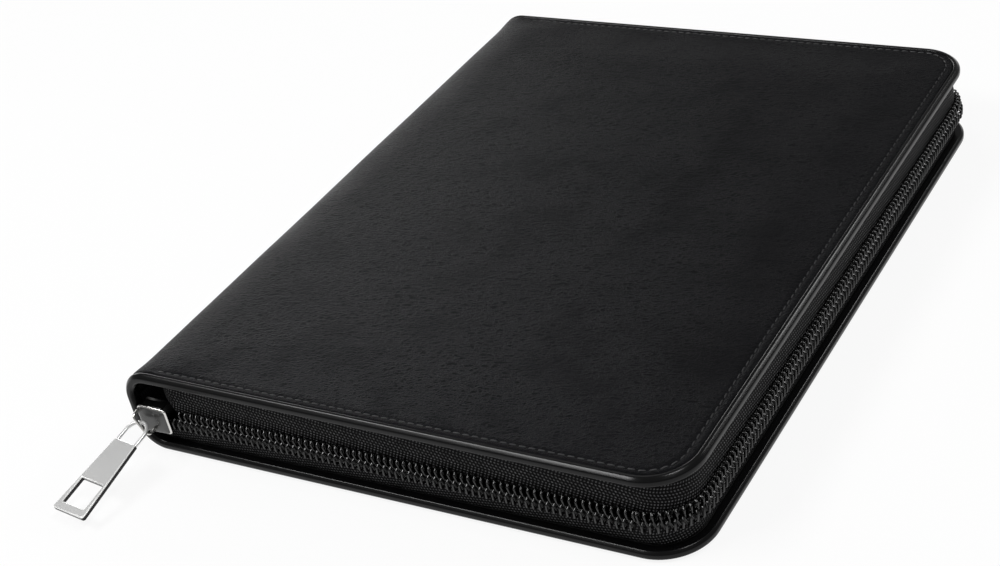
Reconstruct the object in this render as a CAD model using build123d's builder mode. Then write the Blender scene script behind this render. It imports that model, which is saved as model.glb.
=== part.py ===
"""A5 zippered padfolio, closed, lying on its lower cover.

Millimetres. The origin is the centre of the footprint, on the table. +X points
from the spine to the zip side, +Y along the spine to the far end, +Z up.
"""

import os
from math import cos, floor, radians, sin

from build123d import *

os.makedirs("parts", exist_ok=True)

# Case
case_width = 190.0
case_length = 240.0
case_height = 29.0
corner_radius = 16.0
fold_radius = 10.0
fold_split_angle = 45.0
fold_gap_angle = 1.0

# Cover layers, from the outside in
leather_thickness = 0.9
padding_thickness = 1.0
board_thickness = 1.3
lining_thickness = 0.5
board_fold_margin = 1.5
binding_width = 2.4

# Zipper tapes
tape_thickness = 0.6
tape_clearance = 0.2
tape_hem = 6.4
zip_height = 13.0
tape_edge_gap = 2.0
lower_tape_start = 10.5
upper_tape_start = 16.5
tape_end = 13.0

# Zipper coil
coil_depth = 2.6
coil_half_width = 3.8
coil_pitch = 2.14
coil_tooth_width = 0.8
coil_overlap = 0.85
coil_root_gap = 0.25
coil_corner_teeth = 11
lower_coil_start = 13.5
upper_coil_start = 17.0
coil_end = 29.0
stop_length = 3.0
stop_inset = 0.5

# Slider
slider_length = 11.5
slider_rear = 15.5
slider_nose_width = 10.0
slider_rear_width = 9.2
slider_plate = 0.9
slider_clearance = 0.3
slider_corner = 1.6
flange_thickness = 0.8
flange_length = 8.0
post_length = 3.4
post_width = 3.2
post_setback = 0.7

# Bail, a small arch across the slider's outer face
bail_wire = 0.8
bail_span = 8.6
bail_height = 3.6
bail_corner = 1.4
bail_setback = 3.2
bail_tilt = 62.0

# Pull tab
pull_length = 36.0
pull_thickness = 1.7
pull_tip_width = 13.6
pull_neck_width = 9.2
pull_tip_corner = 0.8
pull_bevel = 0.3
loop_length = 8.6
loop_rim = 0.95
loop_thickness = 0.8
loop_play = 0.55
window_width = 9.4
window_length = 9.0
window_margin = 2.8
pull_yaw = -7.5
pull_droop = 14.8

# Spine
spine_board_margin = 1.0

# Writing pad and its sleeve
pad_edge_gap = 12.5
pad_end_gap = 15.0
backing_thickness = 0.8
paper_thickness = 6.0
head_tape_thickness = 0.6
head_tape_lap = 22.0
sleeve_thickness = 0.8
sleeve_border = 2.0
sleeve_clearance = 0.3
sleeve_mouth = 12.0

# Pen loop
pen_radius = 5.0
pen_loop_wall = 0.6
pen_loop_length = 40.0
pen_loop_gap = 1.0
pen_tab_width = 3.0
pen_tab_margin = 0.5

# Pockets inside the upper cover
pocket_thickness = 0.8
pocket_edge_gap = 12.5
pocket_mouth = 45.0
card_thickness = 0.7
card_width = 92.0
card_height = 80.0
card_step = 12.0
card_count = 3
card_fold_gap = 30.0

# Places worked out from the sizes above
half_width = case_width / 2
half_length = case_length / 2
fold_x = fold_radius - half_width
fold_spine_angle = fold_split_angle - fold_gap_angle
fold_cover_angle = fold_split_angle + fold_gap_angle
cover_thickness = leather_thickness + padding_thickness + board_thickness
lining_top = cover_thickness + lining_thickness
upper_lining_bottom = case_height - lining_top
tape_inset = coil_depth
tape_inner = tape_inset + tape_thickness
hem_inner = tape_inset + tape_hem
mid_plane = Plane.XY.offset(case_height / 2)
front_plane = Plane.XZ.offset(half_length)
back_plane = Plane.XZ.offset(-half_length)
side_plane = Plane.YZ.offset(half_width)


def export(part, name):
    """Label a finished piece and write it to its own file."""
    part.label = name
    export_step(part, f"parts/{name}.step")


# Plans and sections shared by several pieces


def cover_plan(inset, left):
    """Plan of a cover layer: straight at the fold, rounded at the zip side."""
    side = half_width - inset
    end = half_length - inset
    with BuildSketch() as plan:
        with BuildLine():
            corners = [(left, -end), (side, -end), (side, end), (left, end)]
            FilletPolyline(*corners, radius=corner_radius - inset)
            Line((left, end), (left, -end))
        make_face()
    return plan.sketch


def sewn_run(outer, inner, front_x, back_x):
    """Plan of a strip that follows the three sewn edges between two insets."""
    side = half_width - outer
    end = half_length - outer
    inner_side = half_width - inner
    inner_end = half_length - inner
    outer_path = [(front_x, -end), (side, -end), (side, end), (back_x, end)]
    inner_near = [(front_x, -inner_end), (inner_side, -inner_end)]
    inner_far = [(inner_side, inner_end), (back_x, inner_end)]
    with BuildSketch() as run:
        with BuildLine():
            FilletPolyline(*outer_path, radius=corner_radius - outer)
            FilletPolyline(*inner_near, *inner_far, radius=corner_radius - inner)
            Line((back_x, end), (back_x, inner_end))
            Line((front_x, -inner_end), (front_x, -end))
        make_face()
    return run.sketch


def fold_point(radius, angle):
    """Point of the lower fold's section, with angle 0 at the spine and 90 at the cover."""
    return (fold_x - radius * cos(radians(angle)), fold_radius - radius * sin(radians(angle)))


def fold_sector(inner, outer, first, last):
    """Section of a layer of the lower fold, between two radii and two angles."""
    middle = (first + last) / 2
    with BuildSketch() as sector:
        with BuildLine():
            ThreePointArc(fold_point(outer, first), fold_point(outer, middle), fold_point(outer, last))
            Line(fold_point(outer, last), fold_point(inner, last))
            ThreePointArc(fold_point(inner, last), fold_point(inner, middle), fold_point(inner, first))
            Line(fold_point(inner, first), fold_point(outer, first))
        make_face()
    return sector.sketch


def spine_section(depth):
    """Section of a spine layer: the flat back and its half of both folds."""
    inner = fold_radius - depth
    flat_height = case_height - 2 * fold_radius
    with BuildSketch() as section:
        add(fold_sector(inner, fold_radius, 0, fold_spine_angle))
        mirror(about=Plane((0, case_height / 2, 0), z_dir=(0, 1, 0)))
        with Locations((-half_width, fold_radius)):
            Rectangle(depth, flat_height, align=(Align.MIN, Align.MIN))
    return section.sketch


def comb_outline(first, last, phase, back, root, tip):
    """Outline of a straight toothed row: a back edge, and teeth from root to tip."""
    count = floor((last - first - phase - coil_tooth_width / 2) / coil_pitch) + 1
    points = [(first, back), (first, root)]
    for index in range(count):
        centre = first + phase + index * coil_pitch
        left = centre - coil_tooth_width / 2
        right = centre + coil_tooth_width / 2
        points += [(left, root), (left, tip), (right, tip), (right, root)]
    return points + [(last, root), (last, back)]


# Cover layers

with BuildPart() as bottom_leather:
    with BuildSketch():
        add(cover_plan(binding_width, fold_x))
    extrude(amount=leather_thickness)
    with BuildSketch(Plane.XZ):
        add(fold_sector(fold_radius - leather_thickness, fold_radius, fold_cover_angle, 90))
    extrude(amount=half_length - binding_width, both=True)
export(bottom_leather.part, "bottom_leather")

with BuildPart() as top_leather:
    mirror(bottom_leather.part, about=mid_plane)
export(top_leather.part, "top_leather")

with BuildPart() as bottom_padding:
    with BuildSketch(Plane.XY.offset(leather_thickness)):
        add(cover_plan(binding_width, fold_x + board_fold_margin))
    extrude(amount=padding_thickness)
export(bottom_padding.part, "bottom_padding")

with BuildPart() as top_padding:
    mirror(bottom_padding.part, about=mid_plane)
export(top_padding.part, "top_padding")

with BuildPart() as bottom_board:
    with BuildSketch(Plane.XY.offset(leather_thickness + padding_thickness)):
        add(cover_plan(binding_width, fold_x + board_fold_margin))
    extrude(amount=board_thickness)
export(bottom_board.part, "bottom_board")

with BuildPart() as top_board:
    mirror(bottom_board.part, about=mid_plane)
export(top_board.part, "top_board")

with BuildPart() as bottom_lining:
    with BuildSketch(Plane.XY.offset(cover_thickness)):
        add(cover_plan(hem_inner + tape_clearance, fold_x + board_fold_margin))
    extrude(amount=lining_thickness)
export(bottom_lining.part, "bottom_lining")

with BuildPart() as top_lining:
    mirror(bottom_lining.part, about=mid_plane)
export(top_lining.part, "top_lining")

# Bindings round the sewn edges, carried round the open ends of the spine

with BuildPart() as bottom_binding:
    with BuildSketch():
        add(sewn_run(0, binding_width, fold_x, fold_x))
    extrude(amount=cover_thickness)
    with BuildSketch(front_plane, back_plane.offset(binding_width)):
        add(fold_sector(fold_radius - cover_thickness, fold_radius, fold_cover_angle, 90))
    extrude(amount=-binding_width)
export(bottom_binding.part, "bottom_binding")

with BuildPart() as top_binding:
    mirror(bottom_binding.part, about=mid_plane)
export(top_binding.part, "top_binding")

with BuildPart() as spine_end_bindings:
    with BuildSketch(front_plane, back_plane.offset(binding_width)):
        add(spine_section(cover_thickness))
    extrude(amount=-binding_width)
export(spine_end_bindings.part, "spine_end_bindings")

# Spine

with BuildPart() as spine_leather:
    with BuildSketch(Plane.XZ):
        add(spine_section(leather_thickness))
    extrude(amount=half_length - binding_width, both=True)
export(spine_leather.part, "spine_leather")

spine_board_height = case_height - 2 * fold_radius - 2 * spine_board_margin
spine_inner_length = case_length - 2 * binding_width

with BuildPart() as spine_stiffener:
    with Locations((leather_thickness - half_width, 0, case_height / 2)):
        strip = (board_thickness, spine_inner_length, spine_board_height)
        Box(*strip, align=(Align.MIN, Align.CENTER, Align.CENTER))
export(spine_stiffener.part, "spine_stiffener")

with BuildPart() as spine_lining:
    with Locations((leather_thickness + board_thickness - half_width, 0, case_height / 2)):
        strip = (lining_thickness, spine_inner_length, spine_board_height)
        Box(*strip, align=(Align.MIN, Align.CENTER, Align.CENTER))
export(spine_lining.part, "spine_lining")

# Zipper tapes: a hem sewn inside each cover and a wall that stands up to the coil

with BuildPart() as lower_zipper_tape:
    with BuildSketch(Plane.XY.offset(cover_thickness)):
        add(sewn_run(tape_inset, hem_inner, lower_tape_start - half_width, tape_end - half_width))
    extrude(amount=tape_thickness)
    with BuildSketch(Plane.XY.offset(cover_thickness)):
        add(sewn_run(tape_inset, tape_inner, lower_tape_start - half_width, tape_end - half_width))
    extrude(amount=zip_height - tape_edge_gap - cover_thickness)
export(lower_zipper_tape.part, "lower_zipper_tape")

with BuildPart() as upper_zipper_tape:
    with BuildSketch(Plane.XY.offset(case_height - cover_thickness)):
        add(sewn_run(tape_inset, hem_inner, upper_tape_start - half_width, tape_end - half_width))
    extrude(amount=-tape_thickness)
    with BuildSketch(Plane.XY.offset(case_height - cover_thickness)):
        add(sewn_run(tape_inset, tape_inner, upper_tape_start - half_width, tape_end - half_width))
    extrude(amount=zip_height + tape_edge_gap - case_height + cover_thickness)
export(upper_zipper_tape.part, "upper_zipper_tape")

# Zipper coil: two toothed rows that mesh half a pitch apart

coil_root = coil_overlap + coil_root_gap
corner_x = half_width - corner_radius
corner_y = half_length - corner_radius
coil_corner_pitch = 90 / coil_corner_teeth
row_phases = {1: coil_pitch / 4, -1: coil_pitch * 3 / 4}


def front_row(side, start):
    """Row of the front run, from the slider to the first corner; side is +1 above, -1 below."""
    levels = [zip_height + side * level for level in (coil_half_width, coil_root, -coil_overlap)]
    run = corner_x - start
    first_tooth = run - floor((run - row_phases[side]) / coil_pitch) * coil_pitch - row_phases[side]
    phase = first_tooth if first_tooth > coil_tooth_width else first_tooth + coil_pitch
    with BuildPart() as row:
        with BuildSketch(front_plane):
            with BuildLine():
                Polyline(*comb_outline(start, corner_x, phase, *levels), close=True)
            make_face()
        extrude(amount=-coil_depth)
    return row.part


def side_row(side):
    """Row round both corners, along the zip side and along the back run."""
    phase = row_phases[side]
    levels = [zip_height + side * level for level in (coil_half_width, coil_root, -coil_overlap)]
    bar_low = min(levels[0], levels[1])
    tooth_low = min(levels[1], levels[2])
    tooth_angle = coil_corner_pitch * phase / coil_pitch
    tooth_radius = corner_radius - coil_depth / 2
    runs = [
        (side_plane, -corner_y, corner_y, -coil_depth),
        (back_plane, coil_end - half_width, corner_x, coil_depth),
    ]
    lengths = []
    with BuildPart() as row:
        for plane, first, last, depth in runs:
            with BuildSketch(plane):
                with BuildLine():
                    Polyline(*comb_outline(first, last, phase, *levels), close=True)
                make_face()
            lengths.append(extrude(amount=depth, mode=Mode.PRIVATE))
        for centre_y, turn, quarter in ((-corner_y, -90, Align.MAX), (corner_y, 0, Align.MIN)):
            with BuildSketch(Plane((corner_x, centre_y, bar_low))):
                Circle(corner_radius)
                Circle(corner_radius - coil_depth, mode=Mode.SUBTRACT)
                Rectangle(corner_radius, corner_radius, align=(Align.MIN, quarter), mode=Mode.INTERSECT)
            lengths.append(extrude(amount=abs(levels[0] - levels[1]), mode=Mode.PRIVATE))
            with BuildSketch(Plane((corner_x, centre_y, tooth_low))):
                with PolarLocations(tooth_radius, coil_corner_teeth, turn + tooth_angle, 90):
                    Rectangle(coil_depth, coil_tooth_width)
            lengths.append(extrude(amount=abs(levels[1] - levels[2]), mode=Mode.PRIVATE))
        add(lengths)
    return row.part


export(front_row(1, upper_coil_start - half_width), "upper_coil_front")
export(front_row(-1, lower_coil_start - half_width), "lower_coil_front")
export(side_row(1), "upper_coil_sides")
export(side_row(-1), "lower_coil_sides")


def end_stop(side):
    """Stop clamped on the tape where a coil row ends, at the back of the spine."""
    low = zip_height + side * stop_inset
    with BuildPart() as stop:
        with BuildSketch(back_plane):
            with Locations((coil_end - half_width, low)):
                edge = Align.MIN if side > 0 else Align.MAX
                Rectangle(stop_length, coil_half_width - stop_inset, align=(Align.MAX, edge))
        extrude(amount=coil_depth)
    return stop.part


export(end_stop(1), "upper_end_stop")
export(end_stop(-1), "lower_end_stop")

# Slider: two plates joined by a wedge post, with flanges that hold the coil

slider_x = slider_rear - slider_length - half_width
slider_front = half_length + slider_clearance
slider_back = half_length - tape_inner - slider_clearance
channel_half = coil_half_width + slider_clearance
flange_depth = coil_depth
slider_plane = Plane((slider_x, -slider_front, zip_height), x_dir=(1, 0, 0), z_dir=(0, -1, 0))
slider_inner_plane = Plane((slider_x, -slider_back, zip_height), x_dir=(1, 0, 0), z_dir=(0, -1, 0))
nose_half = slider_nose_width / 2
rear_half = slider_rear_width / 2
slider_outline = [(0, -nose_half), (slider_length, -rear_half), (slider_length, rear_half), (0, nose_half)]

with BuildPart() as slider_body:
    with BuildSketch(slider_plane):
        with BuildLine():
            Polyline(*slider_outline, close=True)
        make_face()
        fillet(vertices(), slider_corner)
    extrude(amount=slider_plate)
    with BuildSketch(slider_inner_plane):
        with BuildLine():
            Polyline(*slider_outline, close=True)
        make_face()
        fillet(vertices(), slider_corner)
    extrude(amount=-slider_plate)
    with BuildSketch(slider_plane):
        with Locations((post_setback + post_length / 2, 0)):
            RectangleRounded(post_length, post_width, post_width / 2 - slider_clearance)
    extrude(amount=slider_back - slider_front)
    with BuildSketch(slider_plane):
        for edge in (1, -1):
            with Locations((slider_length - slider_corner, edge * (channel_half + flange_thickness / 2))):
                Rectangle(flange_length, flange_thickness, align=(Align.MAX, Align.CENTER))
    extrude(amount=-flange_depth)
export(slider_body.part, "slider_body")

# Bail: a wire arch, set slantwise, with its feet on the slider's outer face

bail_face = half_length + slider_clearance + slider_plate
bail_right = (cos(radians(bail_tilt)), 0, -sin(radians(bail_tilt)))
bail_normal = (-sin(radians(bail_tilt)), 0, -cos(radians(bail_tilt)))
bail_origin = (slider_x + bail_setback, -bail_face, zip_height)
bail_plane = Plane(bail_origin, x_dir=bail_right, z_dir=bail_normal)

with BuildPart() as slider_bail:
    with BuildSketch(bail_plane):
        Rectangle(bail_span, bail_height, align=(Align.CENTER, Align.MIN))
        fillet(vertices().group_by(Axis.Y)[-1], bail_corner)
        with BuildSketch(mode=Mode.SUBTRACT):
            Rectangle(bail_span - 2 * bail_wire, bail_height - bail_wire, align=(Align.CENTER, Align.MIN))
            fillet(vertices().group_by(Axis.Y)[-1], bail_corner - bail_wire)
    extrude(amount=bail_wire / 2, both=True)
export(slider_bail.part, "slider_bail")

# Pull tab: a flat plate with a window, and a thinner loop that hangs on the bail

yaw_cos = cos(radians(pull_yaw))
yaw_sin = sin(radians(pull_yaw))
droop_cos = cos(radians(pull_droop))
droop_sin = sin(radians(pull_droop))
bail_bar = bail_face + bail_height - bail_wire / 2
pull_origin = (slider_x + bail_setback, -bail_bar, zip_height)
pull_right = (yaw_cos, yaw_sin, 0)
pull_normal = (yaw_sin * droop_sin, -yaw_cos * droop_sin, droop_cos)
pull_plane = Plane(pull_origin, x_dir=pull_right, z_dir=pull_normal)
loop_top = bail_wire / 2 + loop_play + loop_rim
neck_y = loop_top - loop_length
tip_y = loop_top - pull_length
neck_half = pull_neck_width / 2
tip_half = pull_tip_width / 2
plate_outline = [(-neck_half, neck_y), (neck_half, neck_y), (tip_half, tip_y), (-tip_half, tip_y)]

with BuildPart() as pull_tab:
    with BuildSketch(pull_plane):
        with BuildLine():
            Polyline(*plate_outline, close=True)
        make_face()
        fillet(vertices().group_by(Axis.Y)[0], pull_tip_corner)
        with Locations((0, tip_y + window_margin)):
            Rectangle(window_width, window_length, align=(Align.CENTER, Align.MIN), mode=Mode.SUBTRACT)
    extrude(amount=pull_thickness / 2, both=True)
    chamfer(faces().filter_by(pull_plane).edges(), pull_bevel)
    with BuildSketch(pull_plane):
        with Locations((0, loop_top - neck_half)):
            Circle(neck_half)
            Circle(neck_half - loop_rim, mode=Mode.SUBTRACT)
            Rectangle(pull_neck_width, neck_half, align=(Align.CENTER, Align.MAX), mode=Mode.SUBTRACT)
        for edge in (1, -1):
            with Locations((edge * (neck_half - loop_rim / 2), loop_top - neck_half)):
                Rectangle(loop_rim, loop_length - neck_half, align=(Align.CENTER, Align.MAX))
    extrude(amount=loop_thickness / 2, both=True)
export(pull_tab.part, "pull_tab")

# Writing pad, between the pen loop and the zip side, and the sleeve that holds its backing

pen_loop_radius = pen_radius + pen_loop_wall
pen_x = fold_x + board_fold_margin + pen_tab_margin + pen_tab_width + pen_loop_radius
pad_left = pen_x + pen_loop_radius + pen_loop_gap + sleeve_border + sleeve_clearance
pad_right = half_width - pad_edge_gap
pad_centre = (pad_left + pad_right) / 2
pad_width = pad_right - pad_left
pad_length = case_length - 2 * pad_end_gap
paper_bottom = lining_top + backing_thickness + sleeve_thickness
head_y = pad_length / 2

with BuildPart() as notepad_backing:
    with Locations((pad_centre, 0, lining_top)):
        Box(pad_width, pad_length, backing_thickness, align=(Align.CENTER, Align.CENTER, Align.MIN))
export(notepad_backing.part, "notepad_backing")

with BuildPart() as notepad_paper:
    with Locations((pad_centre, 0, paper_bottom)):
        Box(pad_width, pad_length, paper_thickness, align=(Align.CENTER, Align.CENTER, Align.MIN))
export(notepad_paper.part, "notepad_paper")

with BuildPart() as notepad_head_tape:
    with Locations((pad_centre, head_y, lining_top)):
        wrap_height = paper_bottom + paper_thickness - lining_top
        Box(pad_width, head_tape_thickness, wrap_height, align=(Align.CENTER, Align.MIN, Align.MIN))
    with Locations((pad_centre, head_y + head_tape_thickness, paper_bottom + paper_thickness)):
        lap = (pad_width, head_tape_lap + head_tape_thickness, head_tape_thickness)
        Box(*lap, align=(Align.CENTER, Align.MAX, Align.MIN))
export(notepad_head_tape.part, "notepad_head_tape")

sleeve_end = head_y - sleeve_mouth
sleeve_start = -head_y - sleeve_clearance - sleeve_border
sleeve_width = pad_width + 2 * sleeve_clearance + 2 * sleeve_border

with BuildPart() as notepad_sleeve:
    with Locations((pad_centre, sleeve_start, lining_top)):
        blank = (sleeve_width, sleeve_end - sleeve_start, backing_thickness + sleeve_thickness)
        Box(*blank, align=(Align.CENTER, Align.MIN, Align.MIN))
    with Locations((pad_centre, sleeve_start + sleeve_border, lining_top)):
        cavity = (sleeve_width - 2 * sleeve_border, sleeve_end - sleeve_start, backing_thickness)
        Box(*cavity, align=(Align.CENTER, Align.MIN, Align.MIN), mode=Mode.SUBTRACT)
export(notepad_sleeve.part, "notepad_sleeve")

# Elastic pen loop between the pad and the spine

pen_z = lining_top + pen_loop_radius

with BuildPart() as pen_loop:
    with BuildSketch(Plane.XZ):
        with Locations((pen_x, pen_z)):
            Circle(pen_loop_radius)
        with Locations((pen_x, lining_top)):
            Rectangle(pen_loop_radius + pen_tab_width, pen_loop_wall, align=(Align.MAX, Align.MIN))
        with Locations((pen_x, pen_z)):
            Circle(pen_radius, mode=Mode.SUBTRACT)
    extrude(amount=pen_loop_length / 2, both=True)
export(pen_loop.part, "pen_loop")

# Pockets inside the upper cover

pocket_left = fold_x + pocket_edge_gap
pocket_width = half_width - pocket_edge_gap - pocket_left
pocket_end = half_length - pocket_edge_gap

with BuildPart() as document_pocket:
    with Locations((pocket_left, -pocket_end, upper_lining_bottom)):
        sheet = (pocket_width, 2 * pocket_end - pocket_mouth, pocket_thickness)
        Box(*sheet, align=(Align.MIN, Align.MIN, Align.MAX))
export(document_pocket.part, "document_pocket")

card_left = fold_x + card_fold_gap
for number in range(card_count):
    with BuildPart() as card_slot:
        card_top = upper_lining_bottom - pocket_thickness - number * card_thickness
        with Locations((card_left, 0, card_top)):
            sheet = (card_height - number * card_step, card_width, card_thickness)
            Box(*sheet, align=(Align.MIN, Align.CENTER, Align.MAX))
    export(card_slot.part, f"card_slot_{number + 1}")
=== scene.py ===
"""Looks of the zippered padfolio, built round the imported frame.

Shapes are worked out in millimetres in the frame of the part: +X from the spine to
the zip side, +Y along the spine, +Z up, origin under the middle of the closed case.
"""

from math import atan2, ceil, cos, exp, hypot, pi, radians, sin, sqrt

import bmesh
import bpy
import numpy as np
from mathutils import Matrix, Vector, noise


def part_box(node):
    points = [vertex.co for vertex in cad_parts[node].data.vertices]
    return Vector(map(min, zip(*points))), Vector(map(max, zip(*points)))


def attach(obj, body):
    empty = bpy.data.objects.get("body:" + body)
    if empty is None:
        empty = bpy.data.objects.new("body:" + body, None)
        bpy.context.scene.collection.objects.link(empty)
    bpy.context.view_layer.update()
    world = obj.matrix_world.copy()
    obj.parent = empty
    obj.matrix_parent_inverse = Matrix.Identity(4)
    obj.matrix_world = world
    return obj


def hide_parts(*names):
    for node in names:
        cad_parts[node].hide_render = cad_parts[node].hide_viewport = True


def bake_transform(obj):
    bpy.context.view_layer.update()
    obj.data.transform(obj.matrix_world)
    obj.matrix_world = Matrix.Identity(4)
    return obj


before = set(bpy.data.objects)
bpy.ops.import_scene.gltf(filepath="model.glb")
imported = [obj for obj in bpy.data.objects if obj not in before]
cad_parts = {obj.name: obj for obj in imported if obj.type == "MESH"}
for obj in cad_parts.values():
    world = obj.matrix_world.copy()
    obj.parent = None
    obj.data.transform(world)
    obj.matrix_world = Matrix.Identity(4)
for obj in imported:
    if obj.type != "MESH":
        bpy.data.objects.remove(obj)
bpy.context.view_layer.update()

MM = 0.001

# Sizes of the part, as its source has them
HALF_X = 95.0
HALF_Y = 120.0
HEIGHT = 29.0
CORNER = 16.0
FOLD = 10.0
FOLD_X = FOLD - HALF_X
COVER = 3.2
BINDING = 2.4
LEATHER = 0.9
PADDED = 1.9
ZIP_Z = 13.0
COIL_DEPTH = 2.6
COIL_HALF = 3.8
COIL_PITCH = 2.14
COIL_OVERLAP = 0.85
CORNER_TEETH = 11
TAPE = 0.6
TAPE_HEM = 9.0
TAPE_GAP = 2.0
LOWER_TAPE_START = 10.5
UPPER_TAPE_START = 16.5
TAPE_END = 13.0
LOWER_COIL_START = 13.5
UPPER_COIL_START = 17.0
COIL_END = 29.0
MID_Z = HEIGHT / 2

# The sewn edge: front run, corner, zip side, corner and back run
CENTRE_X = HALF_X - CORNER
CENTRE_Y = HALF_Y - CORNER
FRONT_RUN = CENTRE_X + HALF_X
CORNER_RUN = CORNER * pi / 2
SIDE_RUN = 2 * CENTRE_Y
EDGE_RUN = 2 * FRONT_RUN + 2 * CORNER_RUN + SIDE_RUN


# Materials


class Graph:
    """Shader nodes of a material or a world, with short ways to add and join them."""

    def __init__(self, owner):
        owner.use_nodes = True
        self.owner = owner
        self.nodes = owner.node_tree.nodes

    def put(self, value, socket):
        """Sets an input to a plain value, or joins it to an output."""
        if isinstance(value, bpy.types.NodeSocket):
            self.owner.node_tree.links.new(value, socket)
        else:
            socket.default_value = value

    def feed(self, key, value):
        """Sets or joins an input of the Principled shader."""
        self.put(value, self.nodes["Principled BSDF"].inputs[key])

    def add(self, kind, inputs, **settings):
        """Outputs of a new node with its properties and inputs set."""
        made = self.nodes.new("ShaderNode" + kind)
        for key, value in settings.items():
            setattr(made, key, value)
        for key, value in inputs.items():
            self.put(value, made.inputs[key])
        return made.outputs

    def maths(self, operation, *values):
        return self.add("Math", dict(enumerate(values)), operation=operation)[0]

    def split(self, vector):
        """Outputs X, Y and Z of a vector."""
        return self.add("SeparateXYZ", {"Vector": vector})

    def spot(self):
        """Object coordinates."""
        return self.add("TexCoord", {})["Object"]

    def place(self, stretch=(1, 1, 1), turn=0.0):
        """Object coordinates, turned about the vertical and then drawn out along each axis."""
        inputs = {"Vector": self.spot(), "Rotation": (0, 0, turn), "Scale": stretch}
        return self.add("Mapping", inputs, vector_type="TEXTURE")["Vector"]

    def noise(self, vector, scale, detail=3.0, rough=0.55):
        inputs = {"Vector": vector, "Scale": scale, "Detail": detail, "Roughness": rough}
        return self.add("TexNoise", inputs)["Fac"]

    def ramp(self, value, low, high, first=0.0, last=1.0):
        """Maps value from [low, high] to [first, last], held at both ends."""
        inputs = {"Value": value, "From Min": low, "From Max": high, "To Min": first, "To Max": last}
        return self.add("MapRange", inputs)["Result"]

    def mix(self, factor, first, last):
        """Colour between two colours."""
        inputs = {"Factor": factor, "A": (*first, 1), "B": (*last, 1)}
        return self.add("Mix", inputs, data_type="RGBA")["Result"]

    def wave(self, value, period):
        """Sine of value with that period, from 0 to 1."""
        swing = self.maths("SINE", self.maths("MULTIPLY", value, 2 * pi / period))
        return self.maths("MULTIPLY_ADD", swing, 0.5, 0.5)

    def bump(self, heights):
        """Chains bumps given as (height, strength, distance in metres)."""
        below = {}
        for height, strength, distance in heights:
            inputs = {"Height": height, "Strength": strength, "Distance": distance, **below}
            below = {"Normal": self.add("Bump", inputs)["Normal"]}
        self.feed("Normal", below["Normal"])


def shader(name, color, roughness, **inputs):
    """Graph of a new material, with plain values set on its Principled shader."""
    graph = Graph(bpy.data.materials.new(name))
    graph.feed("Base Color", (*color, 1))
    graph.feed("Roughness", roughness)
    for key, value in inputs.items():
        graph.feed(key.replace("_", " "), value)
    return graph


LEATHER_TINT = (0.89, 0.89, 1, 1)
CREASE_STRETCH = (2.0, 1.0, 1.0)
CREASE_TURN = 0.3
CREASES = ((360.0, 0.045, 0.4, 0.00020), (850.0, 0.09, 0.6, 0.00013))  # scale, width, strength, depth


def leather_material(name, dark, light, roughness, grain, gloss):
    """Smooth leather: sharp creases across the spine in patches, fine grain and soft mottling."""
    graph = shader(name, dark, roughness[0], Specular_IOR_Level=gloss, Specular_Tint=LEATHER_TINT)
    plain = graph.place()
    across = graph.place(CREASE_STRETCH, CREASE_TURN)
    patches = graph.ramp(graph.noise(plain, 38.0, 2.0), 0.36, 0.64, 0.3, 1.0)
    heights = [(graph.noise(across, 90.0, 3.0), 0.08 * grain, 0.0006)]
    for scale, width, strength, depth in CREASES:
        level = graph.noise(across, scale, 4.0, 0.6)
        away = graph.maths("ABSOLUTE", graph.maths("SUBTRACT", level, 0.5))
        groove = graph.maths("SUBTRACT", graph.ramp(away, 0.0, width), 1.0)
        heights.append((graph.maths("MULTIPLY", groove, patches), strength * grain, depth))
    heights.append((graph.noise(plain, 1500.0, 2.0), 0.35 * grain, 0.00012))
    mottle = graph.noise(plain, 45.0, 4.0)
    graph.feed("Base Color", graph.mix(mottle, dark, light))
    graph.feed("Roughness", graph.ramp(mottle, 0.35, 0.65, *roughness))
    graph.bump(heights)
    return graph.owner


def tape_material():
    """Herringbone zipper tape: raised knots in slanted rows that change direction in lengthwise bands,
    painted light grey on black yarn as a painted highlight.

    The piece's own run and width, in millimetres, are kept on its points as "weave".
    """
    graph = shader("zipper_tape", (0.004, 0.004, 0.004), 0.6, Specular_IOR_Level=0.05)
    run, width, _ = graph.split(graph.add("Attribute", {}, attribute_name="weave")["Vector"])
    slant = graph.maths("MULTIPLY", graph.maths("PINGPONG", width, 3.1), 0.4)
    ribs = graph.wave(graph.maths("ADD", run, slant), 1.12)
    lean = graph.maths("MULTIPLY", run, 0.14)
    picks = graph.wave(graph.maths("SUBTRACT", width, lean), 1.05)
    knots_and_sheen = graph.maths("POWER", graph.maths("MULTIPLY", ribs, picks), 2.0)
    patches = graph.ramp(graph.noise(graph.place(), 900.0, 2.0), 0.3, 0.6, 0.35, 1.0)
    knots_and_sheen = graph.maths("MULTIPLY", knots_and_sheen, patches)
    # Base colour: the raised knots are painted light grey as a painted highlight; the bump below also raises
    # them.
    graph.feed("Base Color", graph.mix(knots_and_sheen, (0.0008, 0.0008, 0.0009), (0.17, 0.17, 0.174)))
    graph.bump([(knots_and_sheen, 0.9, 0.00022)])
    return graph.owner


def wire_material(name, color, roughness, relief, **inputs):
    """Smooth moulded or drawn surface with slight changes in gloss."""
    graph = shader(name, color, roughness, **inputs)
    spot = graph.place()
    haze = graph.noise(spot, 260.0)
    graph.feed("Roughness", graph.ramp(haze, 0.3, 0.7, roughness * 0.96, roughness * 1.05))
    graph.bump([(graph.noise(spot, 900.0, 2.0), relief, 0.00005)])
    return graph.owner


def cloth_material(name, dark, light, period):
    """Plain weave by place, for linings and elastic; period is in millimetres."""
    graph = shader(name, dark, 0.8, Specular_IOR_Level=0.25)
    x, y, _ = graph.split(graph.spot())
    threads = graph.maths("MULTIPLY", graph.wave(x, period * MM), graph.wave(y, period * MM))
    graph.feed("Base Color", graph.mix(threads, dark, light))
    graph.bump([(threads, 0.7, 0.00018)])
    return graph.owner


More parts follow.
